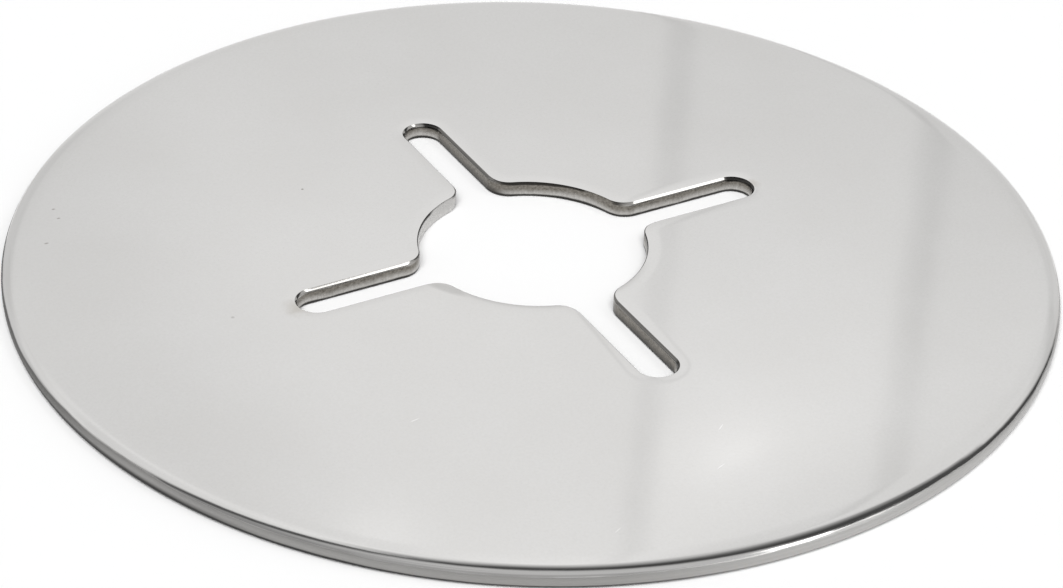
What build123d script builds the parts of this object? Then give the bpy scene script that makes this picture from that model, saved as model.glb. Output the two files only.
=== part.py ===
from build123d import *

import os
from math import hypot, isclose

# A round hot plate of polished steel, laid loose over a table burner. The flame comes up through a round
# hole in the middle, and slots run out from the hole to spread the heat under a pan.
# Millimetres, +Z up. The origin is on the plate's axis, at its underside. The first slot lies along +X.

# Driving dimensions: the plate
plate_diameter = 240.0
plate_thickness = 4.0

# Driving dimensions: the opening in the middle. A slot's reach runs from the plate's axis to its tip
flame_hole_diameter = 52.5
slot_count = 4
slot_width = 9.0
slot_reach = 59.0
tongue_corner_radius = 5.8

# Driving dimensions: the polished rounding of the edges
rim_top_round = 2.0
rim_bottom_round = 1.5
opening_top_round = 0.7
opening_bottom_round = 0.5

# A wall keeps at least this flat height between the rounding of its upper and of its lower edge
flat_wall_left = 0.4

# A corner of the outline within this distance of the flame hole's edge is one of the hole's own
corner_tolerance = 0.001

# Places of the two flat faces in a list sorted by height
underside = 0
top_side = -1


def opening_outline() -> Sketch:
    """The flame hole with its slots as one flat outline.

    Each slot starts at the plate's axis and ends in a full round. The corners where a slot's sides cut the
    flame hole's edge are rounded, so that the tongues of steel between the slots have no sharp points.
    """
    flame_hole_radius = flame_hole_diameter / 2
    slots = PolarLocations(slot_reach / 2, slot_count) * SlotOverall(slot_reach, slot_width)
    outline = Circle(flame_hole_radius) + slots
    corners = outline.vertices().filter_by(
        lambda corner: isclose(hypot(corner.X, corner.Y), flame_hole_radius, abs_tol=corner_tolerance)
    )
    return fillet(corners, tongue_corner_radius)


def fitting_round(rounding: float, opposite_rounding: float) -> float:
    """An upper edge's rounding, kept to the height that the wall has left above its lower edge's rounding."""
    return min(rounding, plate_thickness - opposite_rounding - flat_wall_left)


def flat_face(plate: Part, side: int) -> Face:
    """The plate's flat face on one side."""
    return plate.faces().filter_by(GeomType.PLANE).sort_by(Axis.Z)[side]


def rounded(plate: Part, side: int, rim_round: float, opening_round: float) -> Part:
    """The plate with the rim and the opening's edge rounded on one side."""
    plate = fillet(flat_face(plate, side).outer_wire().edges(), rim_round)
    return fillet(flat_face(plate, side).inner_wires()[0].edges(), opening_round)


def hot_plate() -> Part:
    """The plate: a flat disc with the opening cut through it and every edge rounded."""
    plate = extrude(Circle(plate_diameter / 2) - opening_outline(), plate_thickness)
    plate = rounded(plate, underside, rim_bottom_round, opening_bottom_round)
    return rounded(
        plate,
        top_side,
        fitting_round(rim_top_round, rim_bottom_round),
        fitting_round(opening_top_round, opening_bottom_round),
    )


os.makedirs("parts", exist_ok=True)
export_step(hot_plate(), "parts/hot_plate.step")
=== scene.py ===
"""A round hot plate of polished steel, laid flat, with a flame hole and slots cut through its middle.

The plate's shape follows a rule, so Geometry Nodes build it: an edge section is swept round the rim and
round the opening, and the two flat faces are filled in between. Metres, +Z up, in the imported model's frame.
"""

import logging
from dataclasses import dataclass, fields
from enum import Enum
from functools import reduce
from math import cos, pi, radians, sin
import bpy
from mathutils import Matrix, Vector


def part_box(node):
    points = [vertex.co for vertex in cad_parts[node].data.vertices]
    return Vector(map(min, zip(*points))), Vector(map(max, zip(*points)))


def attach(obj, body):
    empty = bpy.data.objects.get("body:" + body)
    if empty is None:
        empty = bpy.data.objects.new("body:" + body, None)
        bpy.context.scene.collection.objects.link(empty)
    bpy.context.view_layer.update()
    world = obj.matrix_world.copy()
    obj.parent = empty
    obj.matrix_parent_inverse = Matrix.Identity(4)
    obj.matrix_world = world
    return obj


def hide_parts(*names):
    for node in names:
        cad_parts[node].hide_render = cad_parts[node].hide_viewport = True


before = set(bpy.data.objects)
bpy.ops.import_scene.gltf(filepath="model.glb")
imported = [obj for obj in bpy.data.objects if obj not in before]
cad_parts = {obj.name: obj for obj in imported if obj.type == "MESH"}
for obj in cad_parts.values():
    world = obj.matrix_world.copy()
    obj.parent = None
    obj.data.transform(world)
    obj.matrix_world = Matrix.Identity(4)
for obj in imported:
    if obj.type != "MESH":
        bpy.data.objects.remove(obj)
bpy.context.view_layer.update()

from types import SimpleNamespace
from typing import Callable, Iterable, Union

import bpy
from bpy.types import ID, Material, Node, NodeSocket, NodeTree, Object, World
from mathutils import Quaternion, Vector

LOG = logging.getLogger("hot_plate")
CAD_NODE = "hot_plate"
MM = 0.001
MICRON = 0.000001
QUARTER_TURN = pi / 2
DEGREES = 180.0 / pi
ORIGIN = (0.0, 0.0, 0.0)
ALONG_Y = (0.0, 1.0, 0.0)
LEVEL_PART = (1.0, 1.0, 0.0)
MIRRORED = (1.0, -1.0, 1.0)
UP = Vector((0.0, 0.0, 1.0))
WHITE = (1.0, 1.0, 1.0, 1.0)
MEAN_SHADE = 0.5


@dataclass(frozen=True)
class Tone:
    """A grey of steel: how light it is, and how far it leans to brown."""

    level: float
    warmth: float
    green_share: float = 0.4

    def colour(self) -> tuple:
        """The tone as a colour, with a little less green than red and least blue."""
        green, blue = 1.0 - self.green_share * self.warmth, 1.0 - self.warmth
        return self.level, self.level * green, self.level * blue, 1.0


def arithmetic(operation: str, swapped: bool = False) -> Callable[["Term", "Value"], "Term"]:
    """A method of Term that adds a Math node, with the two numbers in order or swapped."""
    return lambda term, other: term.tree.math(operation, *((other, term) if swapped else (term, other)))


class Term:
    """A number inside a node tree, so that a formula reads as one."""

    def __init__(self, tree: "Tree", socket: NodeSocket) -> None:
        """Keeps the socket that gives the number, and its tree."""
        self.tree = tree
        self.socket = socket

    __add__ = __radd__ = arithmetic("ADD")
    __mul__ = __rmul__ = arithmetic("MULTIPLY")
    __sub__ = arithmetic("SUBTRACT")
    __rsub__ = arithmetic("SUBTRACT", swapped=True)
    __truediv__ = arithmetic("DIVIDE")
    __rtruediv__ = arithmetic("DIVIDE", swapped=True)
    __pow__ = arithmetic("POWER")


Value = Union[Term, Tone, NodeSocket, float, int, bool, str, tuple, Material]


class Tree:
    """A node tree under construction, with short calls that add nodes and join them."""

    def __init__(self, tree: NodeTree) -> None:
        """Takes over the tree of a group, a material, a world or a modifier."""
        self.tree = tree

    def put(self, socket: NodeSocket, value: Value) -> None:
        """Links a value to a socket, or sets it there if it is constant.

        Args:
            socket: The input to feed.
            value: Another node's output, or a constant.
        """
        if isinstance(value, Term):
            value = value.socket
        if isinstance(value, NodeSocket):
            self.tree.links.new(value, socket)
        else:
            socket.default_value = value.colour() if isinstance(value, Tone) else value

    def node(self, kind: str, inputs: dict = None, **settings: object) -> Node:
        """Adds one node.

        Args:
            kind: The node's type name.
            inputs: Values by the name or the number of the socket that takes them.
            settings: The node's own properties.

        Returns:
            The new node.
        """
        node = self.tree.nodes.new(kind)
        for name, setting in settings.items():
            setattr(node, name, setting)
        for key, value in (inputs or {}).items():
            self.put(node.inputs[key], value)
        return node

    def out(self, kind: str, inputs: dict = None, output: Union[str, int] = 0, **settings: object) -> Term:
        """Adds one node and gives one of its outputs as a term."""
        return Term(self, self.node(kind, inputs, **settings).outputs[output])

    def math(self, operation: str, *values: Value) -> Term:
        """Adds a Math node and gives its result."""
        return self.out("ShaderNodeMath", dict(enumerate(values)), operation=operation)

    def vectors(self, operation: str, *values: Value, output: Union[str, int] = "Value") -> Term:
        """Adds a Vector Math node and gives its result."""
        return self.out("ShaderNodeVectorMath", dict(enumerate(values)), output, operation=operation)

    def dot(self, first: Value, second: Value) -> Term:
        """The dot product of two vectors."""
        return self.vectors("DOT_PRODUCT", first, second)

    def away(self, first: Value, second: Value) -> Term:
        """The distance between two points."""
        return self.vectors("DISTANCE", first, second)

    def length(self, vector: Value) -> Term:
        """The length of a vector."""
        return self.vectors("LENGTH", vector)

    def upward(self, vector: Value) -> Term:
        """The upright part of a vector."""
        return self.out("ShaderNodeSeparateXYZ", {0: vector}, output="Z")

    def largest(self, values: Iterable[Term]) -> Term:
        """The largest of some numbers."""
        return reduce(lambda most, value: self.math("MAXIMUM", most, value), values)

    def vector(self, x: Value = 0.0, y: Value = 0.0, z: Value = 0.0) -> Term:
        """Joins three numbers into a vector."""
        return self.out("ShaderNodeCombineXYZ", {"X": x, "Y": y, "Z": z})

    def step(self, value: Value, start: Value, end: Value, kind: str = "SMOOTHSTEP") -> Term:
        """A step from 0 at start to 1 at end, whichever of the two is larger, smooth or of another kind."""
        ramp = {"Value": value, "From Min": start, "From Max": end}
        return self.out("ShaderNodeMapRange", ramp, interpolation_type=kind)

    def span(self, value: Value, start: Value, end: Value) -> Term:
        """A straight ramp from 0 at start to 1 at end, held at both ends."""
        return self.step(value, start, end, "LINEAR")

    def blend(self, share: Value, first: Value, second: Value) -> Term:
        """A number between two others."""
        return self.out("ShaderNodeMix", {0: share, 2: first, 3: second})

    def place(self, group: "Group", inputs: dict) -> Term:
        """Places a node group and gives its first output."""
        return self.out("ShaderNodeGroup", inputs, node_tree=group.tree)

    def geo(self, kind: str, inputs: dict = None, **settings: object) -> Term:
        """Adds a geometry node and gives its first output."""
        return self.out("GeometryNode" + kind, inputs, **settings)

    def join(self, parts: Iterable[Term]) -> Term:
        """Joins pieces of geometry.

        Args:
            parts: Meshes or curves.

        Returns:
            All of them as one geometry.
        """
        joined = self.node("GeometryNodeJoinGeometry")
        for part in parts:
            self.put(joined.inputs[0], part)
        return Term(self, joined.outputs[0])

    def tint(self, share: Value, first: Value, second: Value) -> Term:
        """A colour between two others."""
        return self.out("ShaderNodeMix", {0: share, 6: first, 7: second}, output=2, data_type="RGBA")


class Group(Tree):
    """A shader node group with named inputs and outputs."""

    def __init__(self, name: str, inputs: dict, outputs: Iterable[str]) -> None:
        """Makes the group's sockets.

        Args:
            name: The group's name.
            inputs: The inputs' names, each with its plain value. A tuple makes a vector input.
            outputs: The names of the numbers that it puts out.
        """
        super().__init__(bpy.data.node_groups.new(name, "ShaderNodeTree"))
        for key, value in inputs.items():
            kind = "NodeSocketVector" if isinstance(value, tuple) else "NodeSocketFloat"
            self.tree.interface.new_socket(key, in_out="INPUT", socket_type=kind).default_value = value
        for key in outputs:
            self.tree.interface.new_socket(key, in_out="OUTPUT", socket_type="NodeSocketFloat")
        given = self.node("NodeGroupInput")
        self.given = {key: Term(self, given.outputs[key]) for key in inputs}

    def give(self, **results: Value) -> None:
        """Joins the group's results to its outputs."""
        self.node("NodeGroupOutput", results)


@dataclass(frozen=True)
class Ramp:
    """A smooth step, from 0 at its start to its gain at its end, whichever of the two is larger."""

    start: float
    end: float
    gain: float = 1.0

    @classmethod
    def mm(cls, start: float, end: float, gain: float = 1.0) -> "Ramp":
        """A step between two lengths in millimetres."""
        return cls(start * MM, end * MM, gain)

    def of(self, value: Term) -> Term:
        """How far the step has come at a value."""
        return value.tree.step(value, self.start, self.end) * self.gain


class Steel(Enum):
    """The plate's finishes, by the name of their material."""

    FACE = "polished_face"
    RIM = "polished_rim"
    WALL = "cut_wall"


@dataclass(frozen=True)
class PlateSizes:
    """The plate's sizes, in metres. Each is an input of the node tree that builds it."""

    plate_radius: float
    plate_thickness: float
    flame_hole_radius: float = 26.25 * MM
    slot_count: int = 4
    slot_half_width: float = 4.5 * MM
    slot_reach: float = 59.0 * MM
    tongue_corner_radius: float = 5.8 * MM
    rim_fall_width: float = 3.0 * MM
    rim_fall_tilt: float = radians(1.2)
    rim_shoulder_round: float = 6.0 * MM
    rim_shoulder_tilt: float = radians(25.0)
    rim_top_round: float = 1.5 * MM
    rim_bottom_round: float = 1.5 * MM
    opening_fall_width: float = 3.0 * MM
    opening_fall_tilt: float = radians(2.0)
    opening_bottom_round: float = 0.5 * MM
    bevel_break_round: float = 0.15 * MM
    bevel_break_tilt: float = radians(39.0)
    bevel_round: float = 2.6 * MM
    bevel_tilt: float = radians(51.0)
    bevel_corner_round: float = 0.35 * MM
    hole_edge_round: float = 0.3 * MM
    bevel_starts: float = 27.0 * MM
    bevel_full_from: float = 30.5 * MM
    bevel_full_to: float = 58.5 * MM
    bevel_ends: float = 63.0 * MM
    upright: float = QUARTER_TURN
    finish_divide: float = 90.0 * MM
    flat_margin: float = 0.2 * MM
    weld_distance: float = 2.0 * MICRON
    rim_steps: int = 720
    arc_steps: int = 20
    round_steps: int = 9
    fall_steps: int = 10
    wall_steps: int = 6

    @classmethod
    def from_frame(cls) -> "PlateSizes":
        """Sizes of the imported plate: its radius and thickness are read from the frame."""
        low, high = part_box(CAD_NODE)
        return cls(plate_radius=min(-low.x, high.x, -low.y, high.y), plate_thickness=high.z)


# A face belongs to a finish by the upward part of its normal
RIM_LIFT = cos(radians(12.0))
WALL_LIFT = cos(radians(15.0))
UNDERSIDE_LIFT = -cos(radians(8.0))


class PlateShape:
    """The node tree that builds the plate's mesh from its sizes."""

    def __init__(self, sizes: PlateSizes, materials: dict) -> None:
        """Makes the tree with one named input for each size.

        Args:
            sizes: The plate's sizes.
            materials: The steel's materials by finish.
        """
        self.group = bpy.data.node_groups.new("hot_plate_shape", "GeometryNodeTree")
        self.nodes = Tree(self.group)
        interface = self.group.interface
        for size in fields(sizes):
            kind = "NodeSocketInt" if isinstance(getattr(sizes, size.name), int) else "NodeSocketFloat"
            interface.new_socket(size.name, in_out="INPUT", socket_type=kind)
        interface.new_socket("mesh", in_out="OUTPUT", socket_type="NodeSocketGeometry")
        given = self.nodes.node("NodeGroupInput")
        names = (size.name for size in fields(sizes))
        self.size = SimpleNamespace(**{name: Term(self.nodes, given.outputs[name]) for name in names})
        self._build(materials)

    def welded(self, geometry: Term) -> Term:
        """Merges points that meet."""
        merging = {"Geometry": geometry, "Distance": self.size.weld_distance}
        return self.nodes.geo("MergeByDistance", merging)

    def stroke(self, strokes: Iterable[Term]) -> Term:
        """Joins strokes that meet end to end into one line."""
        wire = self.nodes.geo("CurveToMesh", {"Curve": self.nodes.join(strokes)})
        return self.nodes.geo("MeshToCurve", {"Mesh": self.welded(wire)})

    def line(self, start: Term, end: Term, steps: Value = 2) -> Term:
        """A straight stroke with a number of even points."""
        straight = self.nodes.geo("CurvePrimitiveLine", {"Start": start, "End": end})
        return self.nodes.geo("ResampleCurve", {"Curve": straight, "Count": steps})

    def arc(self, centre: Term, radius: Value, start: Value, sweep: Value, steps: Term) -> Term:
        """A stroke along a circle.

        Args:
            centre: The circle's centre.
            radius: Its radius.
            start: The angle where the stroke starts.
            sweep: The angle it turns through, positive to the left.
            steps: The number of points.

        Returns:
            The curve.
        """
        turn = {"Resolution": steps, "Radius": radius, "Start Angle": start, "Sweep Angle": sweep}
        drawn = self.nodes.geo("CurveArc", turn)
        return self.nodes.geo("Transform", {"Geometry": drawn, "Translation": centre})

    def opening_outline(self) -> Term:
        """The closed outline of the flame hole with its slots.

        Half of one slot is drawn along +X, mirrored, and set round the axis once for each slot.

        Returns:
            The closed curve.
        """
        nodes, size, at = self.nodes, self.size, self.nodes.vector
        hole, half, corner = size.flame_hole_radius, size.slot_half_width, size.tongue_corner_radius
        count, steps = size.slot_count, size.arc_steps
        corner_y = half + corner
        corner_x = ((hole + corner) ** 2.0 - corner_y ** 2.0) ** 0.5
        corner_angle = nodes.math("ARCTAN2", corner_y, corner_x)
        end_x = size.slot_reach - half
        upper = nodes.join([
            self.arc(at(), hole, corner_angle, pi / count - corner_angle, steps),
            self.arc(at(corner_x, corner_y), corner, corner_angle + pi, QUARTER_TURN - corner_angle, steps),
            self.line(at(corner_x, half), at(end_x, half), steps),
            self.arc(at(end_x), half, 0.0, QUARTER_TURN, steps),
        ])
        lower = nodes.geo("Transform", {"Geometry": upper, "Scale": MIRRORED})
        slots = nodes.geo("InstanceOnPoints", {
            "Points": nodes.geo("Points", {"Count": count}), "Instance": nodes.join([upper, lower]),
            "Rotation": at(z=nodes.geo("InputIndex") * (2 * pi) / count)})
        return self.stroke([nodes.geo("RealizeInstances", {"Geometry": slots})])

    def edge_section(self, fall_width: Term, fall_tilt: Term, rounds: tuple, bottom: Term) -> Term:
        """The section of one edge, from the top face over the wall to the underside.

        The polished face falls away a little towards its edge. Roundings of different radius follow, each up
        to its own tilt from the level, and the last one ends in the upright wall. The steel lies on the left
        of the line that the section is swept along, and the section's second axis points down.

        Args:
            fall_width: Width of the band where the face falls away.
            fall_tilt: The tilt that it falls to.
            rounds: Radius and last tilt of each upper rounding, in order.
            bottom: Radius of the lower rounding.

        Returns:
            The open curve of the section.
        """
        nodes, size = self.nodes, self.size
        thick, margin, steps = size.plate_thickness, size.flat_margin, size.round_steps

        def at(inward: Value, height: Value) -> Term:
            """A point of the section, by its distance in from the edge and its height."""
            return nodes.vector(inward * -1.0, height * -1.0)

        fall_drop = nodes.math("TANGENT", fall_tilt) * fall_width / 2.0
        run, turned = 0.0, fall_tilt
        for radius, tilt in rounds:
            run = run + radius * (nodes.math("SINE", tilt) - nodes.math("SINE", turned))
            turned = tilt
        strokes = [
            self.line(at(run + fall_width + margin, thick), at(run + fall_width, thick)),
            nodes.geo("CurveQuadraticBezier", {
                "Resolution": size.fall_steps, "Start": at(run + fall_width, thick),
                "Middle": at(run + fall_width / 2.0, thick), "End": at(run, thick - fall_drop)}),
        ]
        height, turned = thick - fall_drop, fall_tilt
        for radius, tilt in rounds:
            centre_run = run + radius * nodes.math("SINE", turned)
            centre_height = height - radius * nodes.math("COSINE", turned)
            centre = at(centre_run, centre_height)
            strokes.append(self.arc(centre, radius, turned - QUARTER_TURN, tilt - turned, steps))
            run = centre_run - radius * nodes.math("SINE", tilt)
            height = centre_height + radius * nodes.math("COSINE", tilt)
            turned = tilt
        foot = run + bottom
        strokes += [
            self.line(at(run, height), at(run, bottom), size.wall_steps),
            self.arc(at(foot, bottom), bottom, 0.0, QUARTER_TURN, steps),
            self.line(at(foot, 0.0), at(foot + margin, 0.0)),
        ]
        return self.stroke(strokes)

    def swept(self, path: Term, section: Term) -> Term:
        """Sweeps an edge's section along its line.

        Args:
            path: The line.
            section: The edge's section.

        Returns:
            The swept mesh, turned outwards.
        """
        upright = self.nodes.geo("SetCurveNormal", {"Curve": path}, mode="Z_UP")
        band = self.nodes.geo("CurveToMesh", {"Curve": upright, "Profile Curve": section})
        return self.nodes.geo("FlipFaces", {"Mesh": band})

    def opening_band(self) -> Term:
        """The edge of the opening: bevelled along the slots, and sharp round the flame hole.

        Both edges are swept along the same line, and each point then lies between the two.

        Returns:
            The swept mesh.
        """
        nodes, size = self.nodes, self.size
        outline = self.opening_outline()
        tilts = (size.bevel_break_tilt, size.bevel_tilt, size.upright)
        bevel = (size.bevel_break_round, size.bevel_round, size.bevel_corner_round)
        sharp = [size.hole_edge_round] * len(tilts)
        bevelled, sharp_edged = (self.swept(outline, self.edge_section(
            size.opening_fall_width, size.opening_fall_tilt, tuple(zip(rounds, tilts)),
            size.opening_bottom_round)) for rounds in (bevel, sharp))
        here = nodes.geo("InputPosition")
        sample = {"Geometry": sharp_edged, "Value": here, "Index": nodes.geo("InputIndex")}
        there = nodes.geo("SampleIndex", sample, data_type="FLOAT_VECTOR")
        reach = nodes.length(here)
        share = nodes.step(reach, size.bevel_starts, size.bevel_full_from)
        share = share * nodes.step(reach, size.bevel_ends, size.bevel_full_to)
        between = nodes.out("ShaderNodeMix", {0: share, 4: there, 5: here}, output=1, data_type="VECTOR")
        return nodes.geo("SetPosition", {"Geometry": bevelled, "Position": between})

    def flat_face(self, bands: Term, top: bool) -> Term:
        """Fills a flat face between the open edges of the swept bands.

        Args:
            bands: The rim and the edge of the opening.
            top: Whether it is the top face or the underside.

        Returns:
            The face, turned outwards.
        """
        nodes, thick = self.nodes, self.size.plate_thickness
        height = nodes.upward(nodes.geo("InputPosition"))
        on_side = nodes.math("GREATER_THAN" if top else "LESS_THAN", height, thick / 2.0)
        open_edge = nodes.math("LESS_THAN", nodes.geo("InputMeshEdgeNeighbors"), 2.0)
        loops = nodes.geo("MeshToCurve", {"Mesh": bands, "Selection": on_side * open_edge})
        face = nodes.geo("FillCurve", {"Curve": loops}, mode="TRIANGLES")
        if top:
            return nodes.geo("Transform", {"Geometry": face, "Translation": nodes.vector(z=thick)})
        return nodes.geo("FlipFaces", {"Mesh": face})

    def _build(self, materials: dict) -> None:
        """Adds the nodes of the whole plate, and its finishes.

        Args:
            materials: The steel's materials by finish.
        """
        nodes, size, geo = self.nodes, self.size, self.nodes.geo
        circle = geo("CurvePrimitiveCircle", {"Resolution": size.rim_steps, "Radius": size.plate_radius})
        shoulder = (size.rim_shoulder_round, size.rim_shoulder_tilt)
        section = self.edge_section(
            size.rim_fall_width, size.rim_fall_tilt,
            (shoulder, (size.rim_top_round, size.upright)), size.rim_bottom_round)
        bands = nodes.join([self.swept(circle, section), self.opening_band()])
        whole = self.welded(nodes.join([bands, self.flat_face(bands, True), self.flat_face(bands, False)]))
        whole = geo("SetShadeSmooth", {"Geometry": whole})
        whole = geo("RealizeInstances", {"Geometry": whole})
        lift = nodes.upward(geo("InputNormal"))
        above_foot = nodes.math("GREATER_THAN", lift, UNDERSIDE_LIFT)
        outside = nodes.math("GREATER_THAN", nodes.length(geo("InputPosition")), size.finish_divide)
        on_rim = nodes.math("LESS_THAN", lift, RIM_LIFT) * above_foot * outside
        on_wall = nodes.math("LESS_THAN", lift, WALL_LIFT) * above_foot * (1.0 - outside)
        for steel, faces in ((Steel.FACE, True), (Steel.RIM, on_rim), (Steel.WALL, on_wall)):
            whole = geo("SetMaterial", {"Geometry": whole, "Selection": faces, "Material": materials[steel]})
        nodes.node("NodeGroupOutput", {"mesh": whole})


@dataclass(frozen=True)
class HeatSpot:
    """A place where the flame has tinted the steel, in metres."""

    centre: tuple
    reach: float
    strength: float


@dataclass(frozen=True)
class Effects:
    """Shader node groups for what more than one of the finishes shows."""

    cloud_size: float = 50.0 * MM
    cloud_detail: float = 3.0
    cloud_roughness: float = 0.55
    cloud_range: tuple = (0.3, 0.7)
    grain_detail: float = 2.0
    grain_range: tuple = (0.25, 0.75)
    heat_specks: float = 420.0
    heat_detail: float = 3.0
    heat_wander: float = 0.9
    heat_edge: Ramp = Ramp(1.35, 0.35)
    heat_spots: tuple = (
        HeatSpot((-0.0600, -0.0010, 0.004), 0.0050, 0.30),
        HeatSpot((0.0598, -0.0005, 0.004), 0.0028, 0.25),
    )

    def build(self) -> dict:
        """Builds each group once, and gives them by name."""
        return {"clouds": self._clouds(), "grain": self._grain(), "heat": self._heat()}

    def _clouds(self) -> Group:
        """Soft cloudy unevenness, left by polishing by hand.

        Returns:
            The group, with the clouds' size in metres as its input.
        """
        group = Group("polish_clouds", {"Place": ORIGIN, "Size": self.cloud_size}, ["Shade"])
        noise = group.out("ShaderNodeTexNoise", {
            "Vector": group.given["Place"], "Scale": 1.0 / group.given["Size"],
            "Detail": self.cloud_detail, "Roughness": self.cloud_roughness})
        group.give(Shade=group.span(noise, *self.cloud_range))
        return group

    def _grain(self) -> Group:
        """Fine lines, level or upright by which of their two sizes is the larger.

        Returns:
            The group, with the lines' level and upright size in metres as its inputs.
        """
        group = Group("steel_grain", {"Place": ORIGIN, "Level Size": MM, "Upright Size": MM}, ["Shade"])
        level, upright = group.given["Level Size"], group.given["Upright Size"]
        sizes = group.vector(level, level, upright)
        stretched = group.vectors("DIVIDE", group.given["Place"], sizes, output=0)
        noise = group.out("ShaderNodeTexNoise", {
            "Vector": stretched, "Scale": 1.0, "Detail": self.grain_detail})
        group.give(Shade=group.span(noise, *self.grain_range))
        return group

    def _heat(self) -> Group:
        """Straw and brown tint that the flame leaves at the tips of two slots.

        Returns:
            The group, with the tint's strength over the surface as its output.
        """
        group = Group("heat_tint", {"Place": ORIGIN}, ["Mask"])
        place = group.given["Place"]
        noise = group.out("ShaderNodeTexNoise", {
            "Vector": place, "Scale": self.heat_specks, "Detail": self.heat_detail})
        masks = [self.heat_edge.of(group.away(place, spot.centre) / spot.reach + noise * self.heat_wander)
                 * spot.strength for spot in self.heat_spots]
        group.give(Mask=group.largest(masks))
        return group


class SteelMaterial:
    """A metal material under construction, with the place on the plate that its patterns read."""

    def __init__(self, steel: Steel, groups: dict) -> None:
        """Makes an empty steel material.

        Args:
            steel: Which finish it is.
            groups: The shared shader node groups by name.
        """
        self.material = bpy.data.materials.new(steel.value)
        self.material.use_nodes = True
        self.groups = groups
        self.nodes = Tree(self.material.node_tree)
        self.shader = self.material.node_tree.nodes["Principled BSDF"]
        self.shader.inputs["Metallic"].default_value = 1.0
        self.place = self.nodes.out("ShaderNodeTexCoord", output="Object")
        self.height = self.nodes.upward(self.place)
        self.reach = self.nodes.length(self.place)

    def clouds(self, size: float) -> Term:
        """Cloudy unevenness of a size, from 0 to 1."""
        return self.nodes.place(self.groups["clouds"], {"Place": self.place, "Size": size})

    def grain(self, level_size: float, upright_size: float) -> Term:
        """Fine lines of a length and a height, from 0 to 1."""
        sizes = {"Level Size": level_size, "Upright Size": upright_size}
        return self.nodes.place(self.groups["grain"], {"Place": self.place, **sizes})

    def heat(self) -> Term:
        """The strength of the flame's tint."""
        return self.nodes.place(self.groups["heat"], {"Place": self.place})

    def layered(self, colour: Value, *layers: tuple) -> Term:
        """Lays tones over one another.

        Args:
            colour: The lowest colour.
            layers: The mask and the colour of each layer above it.

        Returns:
            The colour that shows.
        """
        for mask, tone in layers:
            colour = self.nodes.tint(mask, colour, tone)
        return colour

    def dress(self, colour: Term, roughness: Term, rise: Term, depth: float) -> Material:
        """Joins the finish to the shader.

        Args:
            colour: The steel's colour over the surface.
            roughness: Its roughness over the surface.
            rise: Its relief, from 0 to 1.
            depth: The relief's depth in metres.

        Returns:
            The finished material.
        """
        bump = self.nodes.out("ShaderNodeBump", {"Strength": 1.0, "Distance": depth, "Height": rise})
        for name, value in (("Base Color", colour), ("Roughness", roughness), ("Normal", bump)):
            self.nodes.put(self.shader.inputs[name], value)
        return self.material


@dataclass(frozen=True)
class Mark:
    """A small mark on the polished face: a pit, a patch of painted shade or a hair scratch. Metres and
    degrees.
    """

    x: float
    y: float
    length: float
    width: float
    turn: float = 0.0
    strength: float = 0.7


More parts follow.
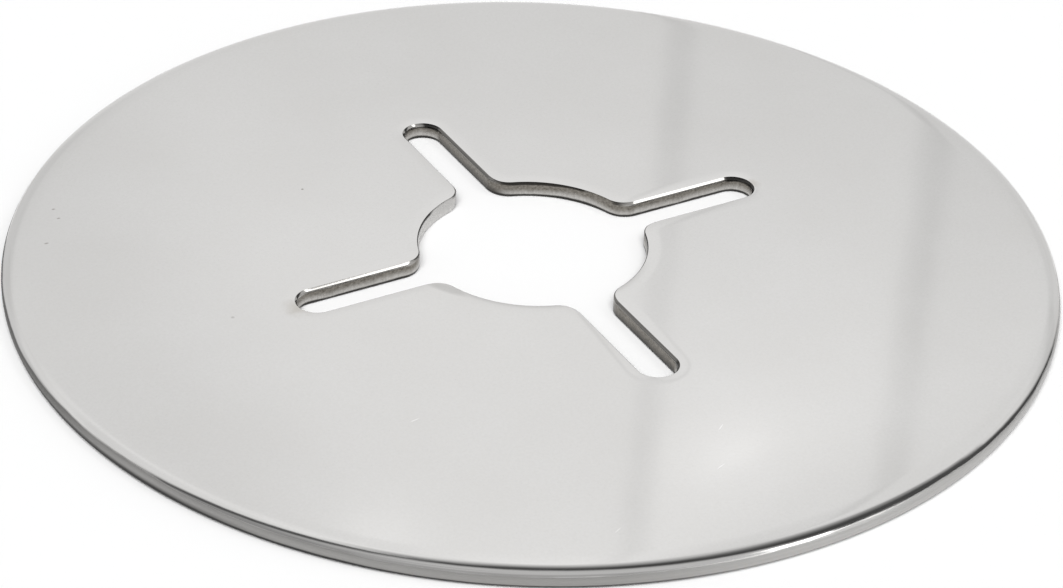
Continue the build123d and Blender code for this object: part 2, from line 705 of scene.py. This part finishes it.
@dataclass(frozen=True)
class PolishedFace:
    """The face, polished to a soft mirror, a little uneven, with pits, hair scratches painted lighter as
    glints, and heat tint.

    Painted shade darkens it along the near edge of the hole, at one side, and in a patch at a corner there.
    """

    plain: Tone = Tone(0.668, 0.027)
    clear: Tone = Tone(0.690, 0.020)
    grained: Tone = Tone(0.600, 0.042)
    heated: Tone = Tone(0.300, 0.430)
    # Painted shade: the face's colour along the near edge of the hole.
    painted_edge_shade: Tone = Tone(0.400, 0.040)
    pitted: Tone = Tone(0.220, 0.180)
    # Painted glint: the hair scratches are coloured lighter than the steel.
    scratch_glint: Tone = Tone(0.920, 0.010)
    cloud_size: float = 35.0 * MM
    swell_size: float = 90.0 * MM
    swell_depth: float = 30.0 * MICRON
    grain_size: float = 0.6 * MM
    grain_share: float = 0.25
    roughness: float = 0.045
    cloud_roughness: float = 0.02
    heat_roughness: float = 0.25
    pit_roughness: float = 0.20
    scratch_roughness: float = 0.12
    mark_edge: Ramp = Ramp(1.4, 0.5)
    # Where the painted shade along the near edge lies: towards one side, within a reach of the hole, and in
    # one patch.
    painted_edge_shade_side: tuple = (-0.508, -0.861, 0.0)
    painted_edge_shade_from: Ramp = Ramp.mm(4.0, 16.0, 0.45)
    painted_edge_shade_within: Ramp = Ramp.mm(28.4, 26.2)
    painted_edge_shade_patches: tuple = (Mark(-0.0266, -0.0088, 0.0050, 0.0014, -57.0, 0.45),)
    pits: tuple = (
        Mark(-0.0926, 0.0608, 0.0004, 0.0003, 0.0, 0.5),
        Mark(-0.0930, 0.0566, 0.0004, 0.0003, 0.0, 0.5),
        Mark(-0.0993, 0.0478, 0.0005, 0.0003, 0.0, 0.5),
        Mark(-0.0740, 0.0019, 0.0004, 0.0004, 0.0, 0.3),
        Mark(-0.0374, 0.0438, 0.0003, 0.0003),
    )
    scratches: tuple = (
        Mark(0.0000, -0.0802, 0.0011, 0.00012, 35.0, 0.8),
        Mark(-0.0073, -0.0917, 0.0012, 0.00012, 20.0, 0.8),
        Mark(-0.0559, -0.0496, 0.0010, 0.00010, 8.0, 0.8),
        Mark(-0.0369, -0.1003, 0.0010, 0.00010, 25.0, 0.35),
    )

    def _marks(self, steel: SteelMaterial, marks: Iterable[Mark]) -> Term:
        """The mask of some small marks on the face.

        Args:
            steel: The material under construction.
            marks: The marks.

        Returns:
            The mask.
        """
        nodes, masks = steel.nodes, []
        for mark in marks:
            turned = nodes.out("ShaderNodeMapping", {
                "Vector": steel.place, "Location": (mark.x, mark.y, 0.0),
                "Rotation": (0.0, 0.0, radians(mark.turn)),
                "Scale": (mark.length, mark.width, 1.0)}, vector_type="TEXTURE")
            level = nodes.vectors("MULTIPLY", turned, LEVEL_PART, output=0)
            masks.append(self.mark_edge.of(nodes.length(level)) * mark.strength)
        return nodes.largest(masks)

    def material(self, groups: dict) -> Material:
        """Makes the material.

        Args:
            groups: The shared shader node groups by name.

        Returns:
            The material.
        """
        steel = SteelMaterial(Steel.FACE, groups)
        clouds, heat = steel.clouds(self.cloud_size), steel.heat()
        grain = steel.grain(self.grain_size, self.grain_size)
        # The scratches' mask also carries their painted glint.
        pits, scratches = self._marks(steel, self.pits), self._marks(steel, self.scratches)
        # Painted shade along the near edge of the hole, and its patch at a corner.
        near = self.painted_edge_shade_from.of(steel.nodes.dot(steel.place, self.painted_edge_shade_side))
        near = near * self.painted_edge_shade_within.of(steel.reach)
        painted_edge_shade = steel.nodes.largest([near, self._marks(steel, self.painted_edge_shade_patches)])
        colour = steel.layered(
            self.plain, (clouds, self.clear), (grain * self.grain_share, self.grained),
            (painted_edge_shade, self.painted_edge_shade), (heat, self.heated), (pits, self.pitted), (scratches, self.scratch_glint))
        rough = self.roughness + clouds * self.cloud_roughness + heat * self.heat_roughness
        rough = rough + pits * self.pit_roughness + scratches * self.scratch_roughness
        return steel.dress(colour, rough, steel.clouds(self.swell_size), self.swell_depth)


@dataclass(frozen=True)
class PolishedRim:
    """The rim, polished with lines that run along it, duller on its wall, with painted shade along its foot.

    Its wall was ground by hand, and its duller tone is partly painted shade. Painted light makes the wall
    lighter towards one side of the plate, and painted shade makes it darker towards the other side, most of
    all low down.
    """

    plain: Tone = Tone(0.640, 0.031)
    clear: Tone = Tone(0.700, 0.021)
    # The ground wall's duller tone; its darkness is partly painted shade.
    dull: Tone = Tone(0.360, 0.040)
    # Painted light and painted shade on the wall, towards one side and the other.
    painted_light_tone: Tone = Tone(0.520, 0.030)
    painted_shade_tone: Tone = Tone(0.070, 0.050)
    dull_lines: Tone = Tone(0.300, 0.050)
    # Painted shade along the rim's foot.
    foot: Tone = Tone(0.030, 0.040)
    # The side of the plate, in degrees, towards which the wall has painted light; painted shade lies on the
    # other side.
    painted_light_side: float = -30.5
    painted_light_from: Ramp = Ramp.mm(12.0, 60.0)
    painted_shade_from: Ramp = Ramp.mm(-74.0, -120.0)
    painted_shade_below: Ramp = Ramp.mm(2.7, 1.5)
    painted_shade_side: Ramp = Ramp.mm(-40.0, -80.0)
    foot_at_light_side: float = 0.25
    painted_foot_shade_rises: Ramp = Ramp.mm(12.0, -84.0, 0.6 * MM)
    dull_rises: Ramp = Ramp.mm(10.0, 90.0, 0.36 * MM)
    dull_falls: Ramp = Ramp.mm(92.0, 108.0, 0.32 * MM)
    line_length: float = 30.0 * MM
    line_height: float = 0.5 * MM
    line_share: float = 0.18
    cloud_size: float = 20.0 * MM
    dull_below: Ramp = Ramp.mm(3.12, 2.84)
    dull_wander: float = 0.3 * MM
    painted_foot_shade_below: Ramp = Ramp.mm(1.25, 0.70)
    painted_foot_shade_wander: float = 0.2 * MM
    roughness: float = 0.05
    line_roughness: float = 0.05
    cloud_roughness: float = 0.03
    dull_roughness: float = 0.40
    relief: float = 40.0 * MICRON
    polished_relief: float = 0.12

    def material(self, groups: dict) -> Material:
        """Makes the material.

        Args:
            groups: The shared shader node groups by name.

        Returns:
            The material.
        """
        steel = SteelMaterial(Steel.RIM, groups)
        nodes = steel.nodes
        lines, clouds = steel.grain(self.line_length, self.line_height), steel.clouds(self.cloud_size)
        wander = clouds - MEAN_SHADE
        # Where a point lies towards the painted light's side or the painted shade's side.
        side = nodes.dot(steel.place, (cos(radians(self.painted_light_side)), sin(radians(self.painted_light_side)), 0.0))
        apart = nodes.math("ABSOLUTE", side)
        rise = self.dull_rises.of(apart) - self.dull_falls.of(apart)
        dull = self.dull_below.of(steel.height + wander * self.dull_wander - rise)
        # Painted light towards one side of the plate.
        light = self.painted_light_from.of(side)
        # Painted shade along the foot, rising on the painted shade's side and weaker on the painted light's
        # side.
        foot = self.painted_foot_shade_below.of(steel.height + wander * self.painted_foot_shade_wander - self.painted_foot_shade_rises.of(side))
        foot = foot * (1.0 - light * (1.0 - self.foot_at_light_side))
        # Painted shade towards the other side, deepest low on the wall.
        shade = nodes.largest([
            self.painted_shade_from.of(side), self.painted_shade_below.of(steel.height) * self.painted_shade_side.of(side)])
        # The ground wall's colour, with painted light and painted shade laid on it.
        ground = steel.layered(
            self.dull, (light, self.painted_light_tone), (shade, self.painted_shade_tone),
            (lines * self.line_share, self.dull_lines))
        colour = steel.layered(self.plain, (lines, self.clear), (dull, ground), (foot, self.foot))
        rough = self.roughness + lines * self.line_roughness + clouds * self.cloud_roughness
        rise = lines * (self.polished_relief + dull * (1.0 - self.polished_relief)) + clouds
        return steel.dress(colour, rough + dull * self.dull_roughness, rise, self.relief)


@dataclass(frozen=True)
class Stretch:
    """A stretch of the opening's wall that differs from the rest, round a point. Metres."""

    x: float
    y: float
    starts: float
    full_within: float


@dataclass(frozen=True)
class CutWall:
    """The cut walls of the opening: speckled brown above, brighter below, with painted shade along their
    foot.

    Painted shade darkens their upper edge round the hole and at the slots' tips, and the bevel at the tips,
    save where it is left off. Painted light lightens one stretch of the wall. The slots' bevel is polished.
    The walls of the slots along Y stay dark down to their foot.
    """

    dark_speck: Tone = Tone(0.110, 0.200)
    light_speck: Tone = Tone(0.310, 0.150)
    lower: Tone = Tone(0.560, 0.054)
    side_lower: Tone = Tone(0.085, 0.120)
    lined: Tone = Tone(0.140, 0.286)
    heated: Tone = Tone(0.160, 0.500)
    # Painted shade along the wall's foot.
    foot: Tone = Tone(0.040, 0.100)
    # Painted shade along the wall's upper edge.
    painted_upper_shade: Tone = Tone(0.035, 0.150)
    bevel: Tone = Tone(0.400, 0.062)
    side_bevel: Tone = Tone(0.220, 0.080)
    # Painted shade on the bevel at the slots' tips.
    tip_bevel_shade: Tone = Tone(0.050, 0.080)
    # Painted light on one stretch of the wall.
    bright: Tone = Tone(0.560, 0.030)
    painted_light_share: float = 0.85
    line_width: float = 0.5 * MM
    line_height: float = 3.0 * MM
    line_share: float = 0.3
    speck_width: float = 0.6 * MM
    speck_height: float = 0.5 * MM
    cloud_size: float = 8.0 * MM
    lower_from: Ramp = Ramp.mm(2.6, 0.8)
    lower_wander: float = 0.8 * MM
    painted_foot_shade_below: Ramp = Ramp.mm(1.0, 0.6)
    painted_foot_shade_wander: float = 0.3 * MM
    side_from: Ramp = Ramp.mm(24.0, 28.0)
    tip_from: Ramp = Ramp.mm(54.5, 56.0)
    slot_from: Ramp = Ramp.mm(26.8, 29.5)
    bevel_from: Ramp = Ramp.mm(3.0, 3.3)
    bevel_wander: float = 0.3 * MM
    # How high the painted shade along the upper edge starts; at the tips it reaches lower.
    painted_upper_shade_from: Ramp = Ramp.mm(3.1, 3.5)
    burnt_at_tips: float = 0.5 * MM
    painted_upper_shade_wander: float = 0.4 * MM
    middle_height: float = 2.0 * MM
    # Where the painted light on the wall lies.
    painted_light_stretches: tuple = (Stretch(-0.0155, 0.0215, 0.0135, 0.0095),)
    # Stretches of two tips where the painted shade on the bevel is left off.
    tips_left_unshaded: tuple = (
        Stretch(-0.0014, 0.0590, 0.0044, 0.0034),
        Stretch(-0.0562, 0.0042, 0.0050, 0.0036),
    )
    # Stretches where the painted shade along the upper edge is left off.
    upper_shade_gap_stretches: tuple = (
        Stretch(-0.0110, 0.0240, 0.0060, 0.0035),
        Stretch(0.0235, 0.0105, 0.0055, 0.0030),
        Stretch(-0.0570, 0.0030, 0.0055, 0.0038),
    )
    roughness: float = 0.24
    speck_roughness: float = 0.12
    bevel_roughness: float = 0.10
    bevel_smooth: float = 0.94
    relief: float = 25.0 * MICRON

    def _within(self, steel: SteelMaterial, stretches: Iterable[Stretch]) -> Term:
        """The mask of some stretches of the wall.

        Args:
            steel: The material under construction.
            stretches: The stretches.

        Returns:
            The mask.
        """
        masks = []
        for stretch in stretches:
            apart = steel.nodes.away(steel.place, (stretch.x, stretch.y, self.middle_height))
            masks.append(Ramp(stretch.starts, stretch.full_within).of(apart))
        return steel.nodes.largest(masks)

    def material(self, groups: dict) -> Material:
        """Makes the material.

        Args:
            groups: The shared shader node groups by name.

        Returns:
            The material.
        """
        steel = SteelMaterial(Steel.WALL, groups)
        nodes, height = steel.nodes, steel.height
        lines = steel.grain(self.line_width, self.line_height)
        specks = steel.grain(self.speck_width, self.speck_height)
        wander = steel.clouds(self.cloud_size) - MEAN_SHADE
        # Painted light on one stretch of the wall.
        bright = self._within(steel, self.painted_light_stretches)
        upper_shade_gap = self._within(steel, self.upper_shade_gap_stretches)
        at_tip, beside_slot = self.tip_from.of(steel.reach), self.slot_from.of(steel.reach)
        off_x = nodes.math("ABSOLUTE", nodes.dot(steel.place, ALONG_Y))
        beside_y = self.side_from.of(off_x) * (1.0 - at_tip)
        bevel = beside_slot * self.bevel_from.of(height + wander * self.bevel_wander)
        # Painted shade on the bevel at the tips.
        painted_tip_shade = at_tip * (1.0 - self._within(steel, self.tips_left_unshaded))
        # Painted shade along the upper edge, left off in a few stretches.
        painted_upper_shade = self.painted_upper_shade_from.of(height + wander * self.painted_upper_shade_wander + at_tip * self.burnt_at_tips)
        painted_upper_shade = painted_upper_shade * (1.0 - beside_slot + at_tip) * (1.0 - upper_shade_gap)
        # Painted shade along the foot, left off where the wall has painted light.
        foot = self.painted_foot_shade_below.of(height + wander * self.painted_foot_shade_wander) * (1.0 - bright)
        low = self.lower_from.of(height + wander * self.lower_wander)
        lower = steel.layered(self.lower, (beside_y, self.side_lower))
        polish = steel.layered(self.bevel, (beside_y, self.side_bevel), (painted_tip_shade, self.tip_bevel_shade))
        colour = steel.layered(
            self.dark_speck, (specks, self.light_speck), (low, lower), (lines * self.line_share, self.lined),
            (bright * self.painted_light_share, self.bright), (steel.heat(), self.heated), (foot, self.foot),
            (painted_upper_shade, self.painted_upper_shade), (bevel, polish))
        rough = nodes.blend(bevel, self.roughness + specks * self.speck_roughness, self.bevel_roughness)
        return steel.dress(colour, rough, (lines + specks) * (1.0 - bevel * self.bevel_smooth), self.relief)


def placed(name: str, data: ID) -> Object:
    """Makes an object and puts it in the scene.

    Args:
        name: The object's name.
        data: Its mesh, lamp or camera.

    Returns:
        The object.
    """
    made = bpy.data.objects.new(name, data)
    bpy.context.scene.collection.objects.link(made)
    return made


@dataclass(frozen=True)
class HotPlate:
    """The hot plate: one sheet of polished steel."""

    sizes: PlateSizes
    effects: Effects = Effects()
    face: PolishedFace = PolishedFace()
    rim: PolishedRim = PolishedRim()
    wall: CutWall = CutWall()

    def finishes(self) -> dict:
        """Makes the three materials.

        Returns:
            The materials by finish.
        """
        groups = self.effects.build()
        makers = {Steel.FACE: self.face, Steel.RIM: self.rim, Steel.WALL: self.wall}
        return {steel: maker.material(groups) for steel, maker in makers.items()}

    def build(self) -> Object:
        """Builds the plate's mesh and puts it in the frame in place of the CAD node.

        Returns:
            The plate's object.
        """
        shape = PlateShape(self.sizes, self.finishes())
        holder = placed("plate_shape", bpy.data.meshes.new("plate_shape"))
        modifier = holder.modifiers.new("shape", "NODES")
        modifier.node_group = shape.group
        for socket in shape.group.interface.items_tree:
            if socket.in_out == "INPUT":
                modifier[socket.identifier] = getattr(self.sizes, socket.name)
        evaluated = holder.evaluated_get(bpy.context.evaluated_depsgraph_get())
        mesh = bpy.data.meshes.new_from_object(evaluated)
        holder.modifiers.remove(modifier)
        bpy.data.objects.remove(holder)
        mesh.name = "polished_plate"
        mesh.materials.pop(index=0)
        plate = placed("polished_plate", mesh)
        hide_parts(CAD_NODE)
        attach(plate, "root")
        return plate


@dataclass(frozen=True)
class PhotoCamera:
    """The camera at the photograph's viewing angle. Angles in degrees, lengths in metres."""

    elevation: float = 32.640
    azimuth: float = -30.521
    distance: float = 0.64514
    aim_right: float = 0.000177
    aim_behind: float = -0.015737
    roll: float = 2.3774
    lens: float = 95.177
    sensor: float = 36.0
    clip_start: float = 0.01
    clip_end: float = 100.0

    def level(self) -> tuple:
        """The level directions away from the camera and to its right."""
        turn = radians(self.azimuth)
        return Vector((-sin(turn), cos(turn), 0.0)), Vector((cos(turn), sin(turn), 0.0))

    def way(self, azimuth: float, height: float) -> Vector:
        """A direction in the room.

        Args:
            azimuth: The angle to the right of straight behind the plate.
            height: The angle above the horizon.

        Returns:
            The direction, of length 1.
        """
        behind, right = self.level()
        turn, rise = radians(azimuth), radians(height)
        return (behind * cos(turn) + right * sin(turn)) * cos(rise) + UP * sin(rise)

    def build(self) -> Object:
        """Makes the camera and makes it the scene's own.

        Returns:
            The camera's object.
        """
        behind, right = self.level()
        rise = radians(self.elevation)
        data = bpy.data.cameras.new("photo_camera")
        data.sensor_fit = "HORIZONTAL"
        data.sensor_width = self.sensor
        data.lens = self.lens
        data.clip_start = self.clip_start
        data.clip_end = self.clip_end
        camera = placed("photo_camera", data)
        camera.location = (behind * -cos(rise) + UP * sin(rise)) * self.distance
        aim = right * self.aim_right + behind * self.aim_behind
        sight = aim - camera.location
        camera.rotation_mode = "QUATERNION"
        turned = sight.to_track_quat("-Z", "Y")
        camera.rotation_quaternion = turned @ Quaternion(UP, radians(self.roll))
        bpy.context.scene.camera = camera
        return camera


@dataclass(frozen=True)
class View:
    """The direction looked at in the room, as terms of the world's tree. Angles in degrees.

    Directions are taken from the camera: azimuth 0 is behind the plate and grows to the right.
    """

    nodes: Tree
    way: Term
    azimuth: Term
    height: Term
    tilt: Term

    @classmethod
    def of(cls, nodes: Tree, camera: PhotoCamera) -> "View":
        """Works out the direction's angles.

        Args:
            nodes: The world's tree.
            camera: The camera that the angles are taken from.

        Returns:
            The view, with its tilt from straight up towards the back of the room.
        """
        way = nodes.out("ShaderNodeTexCoord", output="Generated")
        along, side = (nodes.dot(way, tuple(axis)) for axis in camera.level())
        up = nodes.upward(way)
        azimuth, tilt = (nodes.math("ARCTAN2", *pair) * DEGREES for pair in ((side, along), (along, up)))
        return cls(nodes, way, azimuth, nodes.math("ARCSINE", up) * DEGREES, tilt)


@dataclass(frozen=True)
class Seam:
    """An upright joint between two sheets of the backdrop. Angles in degrees."""

    azimuth: float
    lean: float
    half_width: float
    depth: float


@dataclass(frozen=True)
class Glow:
    """A soft light patch on the backdrop. Angles in degrees."""

    azimuth: float
    height: float
    half_width: float
    half_height: float
    turn: float
    gain: float

    def of(self, view: View) -> Term:
        """The patch's light.

        Args:
            view: The direction looked at.

        Returns:
            What it adds to the brightness there.
        """
        turn = radians(self.turn)
        off_side, off_up = view.azimuth - self.azimuth, view.height - self.height
        along = (off_side * cos(turn) + off_up * sin(turn)) / self.half_width
        across = (off_up * cos(turn) - off_side * sin(turn)) / self.half_height
        return view.nodes.math("EXPONENT", (along * along + across * across) * -1.0) * self.gain


@dataclass(frozen=True)
class Backdrop:
    """The white sheets behind the plate: a left, a middle and a right one. Angles in degrees."""

    left_level: float = 0.905
    left_rises: tuple = (Ramp(26.9, 34.2, 0.14), Ramp(36.2, 44.0, 0.11))
    left_fade: Ramp = Ramp(-4.7, -11.9, 0.11)
    left_fade_height: float = 33.1
    left_fade_lean: float = 0.6
    middle_level: float = 0.90
    middle_rise: Ramp = Ramp(27.4, 37.3, 0.20)
    right_drop: float = 0.05
    upper_fade: Ramp = Ramp(39.2, 42.6, 0.15)
    upper_fade_lean: float = 0.5
    upper_fade_from: Ramp = Ramp(2.6, 7.3)
    upper_fade_at_right: float = 0.55
    top_rise: Ramp = Ramp(46.0, 54.0, 0.05)
    far_left_fade: Ramp = Ramp(-14.0, -34.0, 0.13)
    far_left_fade_from: Ramp = Ramp(40.0, 46.0)
    foot_level: float = 0.94
    foot_rise: Ramp = Ramp(-6.0, 12.0, 0.06)
    seams: tuple = (Seam(3.12, -0.02, 0.33, 0.095), Seam(9.26, 0.0, 0.38, 0.105))
    seam_height: float = 33.0
    seam_soft: float = 0.14
    sheet_overlap: float = 0.1
    glows: tuple = (
        Glow(5.24, 36.44, 0.78, 0.23, -20.0, 0.12),
        Glow(5.29, 36.23, 1.97, 0.83, -18.0, 0.08),
        Glow(-3.74, 38.51, 1.1, 0.65, 0.0, 0.12),
    )
    top: float = 55.5
    top_rises: tuple = (Ramp(1.0, -9.0, 5.5), Ramp(-10.0, -28.0, 8.0))
    top_soft: float = 11.0
    top_sharper: Ramp = Ramp(4.0, -12.0, 4.0)
    left_end: float = -67.0
    left_end_soft: float = 8.0
    left_bend_height: float = 37.0
    left_bend: float = 0.0405
    right_end: float = 50.0
    right_end_bend: tuple = (40.0, 50.0, 8.0)
    right_full: float = 42.0
    right_full_bend: tuple = (42.0, 50.0, 30.0)

    def brightness(self, view: View) -> Term:
        """How bright the sheets are.

        Args:
            view: The direction looked at.

        Returns:
            The brightness there.
        """
        nodes, azimuth, height = view.nodes, view.azimuth, view.height
        left = sum((rise.of(height) for rise in self.left_rises), self.left_level)
        left = left - self.left_fade.of(azimuth - (height - self.left_fade_height) * self.left_fade_lean)
        middle = self.middle_level + self.middle_rise.of(height)
        past_first, past_second = (
            nodes.span(azimuth, seam.azimuth - self.sheet_overlap, seam.azimuth + self.sheet_overlap)
            for seam in self.seams)
        level = nodes.blend(past_first, left, middle) - past_second * self.right_drop
        fading = self.upper_fade.of(height + azimuth * self.upper_fade_lean)
        fading = fading * self.upper_fade_from.of(azimuth)
        level = level - fading * (1.0 - past_second * (1.0 - self.upper_fade_at_right))
        for seam in self.seams:
            apart = nodes.math("ABSOLUTE", azimuth - seam.azimuth - (height - self.seam_height) * seam.lean)
            edge = Ramp(seam.half_width + self.seam_soft, seam.half_width - self.seam_soft, seam.depth)
            level = level - edge.of(apart)
        level = sum((glow.of(view) for glow in self.glows), level)
        level = level + self.top_rise.of(height)
        level = level - self.far_left_fade.of(azimuth) * self.far_left_fade_from.of(height)
        return level * (self.foot_level + self.foot_rise.of(height))

    def mask(self, view: View) -> Term:
        """Where the sheets are: their top is higher on the left, and their sides lean in.

        Args:
            view: The direction looked at.

        Returns:
            1 on the sheets and 0 beside them.
        """
        nodes, azimuth, height = view.nodes, view.azimuth, view.height
        top = sum((rise.of(azimuth) for rise in self.top_rises), self.top)
        soft = self.top_soft - self.top_sharper.of(azimuth)
        bend = nodes.math("MAXIMUM", height - self.left_bend_height, 0.0)
        left = azimuth - bend * bend * self.left_bend - self.left_end
        bends = ((self.right_end, self.right_end_bend), (self.right_full, self.right_full_bend))
        ends = [end - nodes.span(height, low, high) * lean for end, (low, high, lean) in bends]
        mask = Ramp(-self.left_end_soft, self.left_end_soft).of(left) * nodes.span(azimuth, *ends)
        return mask * nodes.span((height - top) / soft, 1.0, -1.0)


@dataclass(frozen=True)
class Strip:
    """A long bright strip light at the right, between two directions. Angles in degrees."""

    level: float = 4.5
    first: tuple = (66.0, 62.5)
    last: tuple = (122.0, 32.0)
    half_width: float = 5.4
    side_soft: float = 1.5
    first_soft: tuple = (0.5, 5.5)
    last_soft: tuple = (1.0, -12.0)

    def mask(self, view: View, camera: PhotoCamera) -> Term:
        """Where the strip is.

        Args:
            view: The direction looked at.
            camera: The camera that its two ends are taken from.

        Returns:
            1 on the strip and 0 beside it.
        """
        nodes = view.nodes
        first, last = camera.way(*self.first), camera.way(*self.last)
        middle = (first + last).normalized()
        side = first.cross(last).normalized()
        reach = first.angle(last) / 2 * DEGREES
        axes = (side, side.cross(middle), middle)
        across, along, ahead = (nodes.dot(view.way, tuple(axis)) for axis in axes)
        across = nodes.math("ABSOLUTE", nodes.math("ARCSINE", across) * DEGREES)
        along = nodes.math("ARCTAN2", along, ahead) * DEGREES
        mask = Ramp(self.half_width + self.side_soft, self.half_width - self.side_soft).of(across)
        mask = mask * Ramp(*(soft - reach for soft in self.first_soft)).of(along)
        return mask * Ramp(*(soft + reach for soft in self.last_soft)).of(along)


@dataclass(frozen=True)
class GreyPanels:
    """The panels in front of the plate, at its sides and overhead: grey above and pale below. Degrees."""

    level: float = 0.48
    right_gain: float = 0.20
    right_from: Ramp = Ramp(35.0, 60.0)
    right_until: Ramp = Ramp(152.0, 126.0)
    left_loss: float = 0.12
    left_from: Ramp = Ramp(-55.0, -85.0)
    left_until: Ramp = Ramp(-135.0, -110.0)
    overhead: Ramp = Ramp(60.0, 80.0, 0.18)
    low: Ramp = Ramp(52.0, 38.0)
    low_level: float = 0.88
    panel_width: float = 15.0
    panel_shades: float = 0.12
    joint: Ramp = Ramp(0.75, 0.35, 0.14)
    joints_below: Ramp = Ramp(56.0, 44.0)
    starts_tilt: Ramp = Ramp(18.0, 10.0)
    starts_later: Ramp = Ramp(-30.0, -52.0, 2.5)
    right_edge: float = 63.5
    right_edge_bulge: Ramp = Ramp(14.0, 30.0, 8.5)
    right_edge_bulge_until: Ramp = Ramp(52.0, 38.0)
    right_edge_soft: float = 6.0
    left_edge: Ramp = Ramp(-62.0, -76.0)
    sides_below: Ramp = Ramp(57.0, 47.0)

    def brightness(self, view: View) -> Term:
        """How bright the panels are.

        Args:
            view: The direction looked at.

        Returns:
            The brightness there.
        """
        nodes, azimuth, height = view.nodes, view.azimuth, view.height
        right = self.right_from.of(azimuth) * self.right_until.of(azimuth)
        left = self.left_from.of(azimuth) * self.left_until.of(azimuth)
        level = self.level + nodes.math("MAXIMUM", right * self.right_gain, self.overhead.of(height))
        level = nodes.blend(self.low.of(height), level - left * self.left_loss, self.low_level)
        number = nodes.math("FLOOR", azimuth / self.panel_width)
        shade = nodes.out("ShaderNodeTexWhiteNoise", {"W": number}, noise_dimensions="1D") - MEAN_SHADE
        joint = self.joint.of(nodes.math("PINGPONG", azimuth, self.panel_width / 2))
        return level * (1.0 + (shade * self.panel_shades - joint) * self.joints_below.of(height))

    def mask(self, view: View) -> Term:
        """Where the panels are: overhead and in front, and at both sides below.

        Args:
            view: The direction looked at.

        Returns:
            1 on the panels and 0 beside them.
        """
        nodes, azimuth, height = view.nodes, view.azimuth, view.height
        bulge = self.right_edge_bulge.of(height) * self.right_edge_bulge_until.of(height)
        right = Ramp(-self.right_edge_soft, self.right_edge_soft).of(azimuth - self.right_edge - bulge)
        sides = self.sides_below.of(height) * (right + self.left_edge.of(azimuth))
        return nodes.math("MAXIMUM", self.starts_tilt.of(view.tilt + self.starts_later.of(azimuth)), sides)


@dataclass(frozen=True)
class Studio:
    """A plain studio: a pale floor, one soft lamp and a room of white and grey panels.

    Angles in degrees, lengths in metres.
    """

    camera: PhotoCamera
    backdrop: Backdrop = Backdrop()
    panels: GreyPanels = GreyPanels()
    strip: Strip = Strip()
    floor_half_width: float = 8.0
    floor_colour: tuple = (0.93, 0.93, 0.93, 1.0)
    floor_roughness: float = 0.9
    floor_shine: float = 0.0
    floor_gap: float = 20.0 * MICRON
    lamp_azimuth: float = 184.0
    lamp_height: float = 55.0
    lamp_spread: float = 45.0
    lamp_power: float = 3.0
    gap_level: float = 0.08
    gap_left_rise: Ramp = Ramp(-20.0, -60.0, 0.03)
    fill_share: float = 0.35

    def floor(self) -> Object:
        """Lays the pale floor, which keeps the plate's shadow.

        Returns:
            The floor's object.
        """
        half, low = self.floor_half_width, -self.floor_gap
        mesh = bpy.data.meshes.new("floor")
        corners = [(-half, -half, low), (half, -half, low), (half, half, low), (-half, half, low)]
        mesh.from_pydata(corners, [], [(0, 1, 2, 3)])
        material = bpy.data.materials.new("pale_floor")
        material.use_nodes = True
        shader = material.node_tree.nodes["Principled BSDF"]
        shader.inputs["Base Color"].default_value = self.floor_colour
        shader.inputs["Roughness"].default_value = self.floor_roughness
        shader.inputs["Specular IOR Level"].default_value = self.floor_shine
        mesh.materials.append(material)
        floor = placed("floor", mesh)
        return floor

    def lamp(self) -> Object:
        """Sets the broad soft lamp in front of the plate. The polish does not show it.

        Returns:
            The lamp's object.
        """
        data = bpy.data.lights.new("soft_lamp", "SUN")
        data.angle = radians(self.lamp_spread)
        data.energy = self.lamp_power
        lamp = placed("soft_lamp", data)
        way = self.camera.way(self.lamp_azimuth, self.lamp_height)
        lamp.location = way
        lamp.rotation_mode = "QUATERNION"
        lamp.rotation_quaternion = (-way).to_track_quat("-Z", "Y")
        lamp.visible_glossy = False
        return lamp

    def room(self) -> World:
        """Makes the room of panels that shows in the plate's polish and fills the lamp's shadows.

        Returns:
            The scene's world.
        """
        world = bpy.data.worlds.new("studio_room")
        bpy.context.scene.world = world
        world.use_nodes = True
        nodes = Tree(world.node_tree)
        view = View.of(nodes, self.camera)
        level = self.gap_level + self.gap_left_rise.of(view.azimuth)
        level = nodes.blend(self.panels.mask(view), level, self.panels.brightness(view))
        level = nodes.blend(self.backdrop.mask(view), level, self.backdrop.brightness(view))
        level = nodes.blend(self.strip.mask(view, self.camera), level, self.strip.level)
        on_floor = nodes.out("ShaderNodeLightPath", output="Is Diffuse Ray")
        background = world.node_tree.nodes["Background"]
        nodes.put(background.inputs["Strength"], level * (1.0 - on_floor * (1.0 - self.fill_share)))
        background.inputs["Color"].default_value = WHITE
        return world


def main() -> None:
    """Builds the plate, the camera and the studio, and logs each piece."""
    logging.basicConfig(level=logging.INFO, format="%(message)s")
    bpy.context.scene.view_settings.view_transform = "Standard"
    plate = HotPlate(PlateSizes.from_frame()).build()
    LOG.info("%s: %d faces", plate.name, len(plate.data.polygons))
    camera = PhotoCamera()
    LOG.info("camera: %s", camera.build().name)
    studio = Studio(camera)
    for made in (studio.floor(), studio.lamp(), studio.room()):
        LOG.info("studio: %s", made.name)


if __name__ == "__main__":
    main()
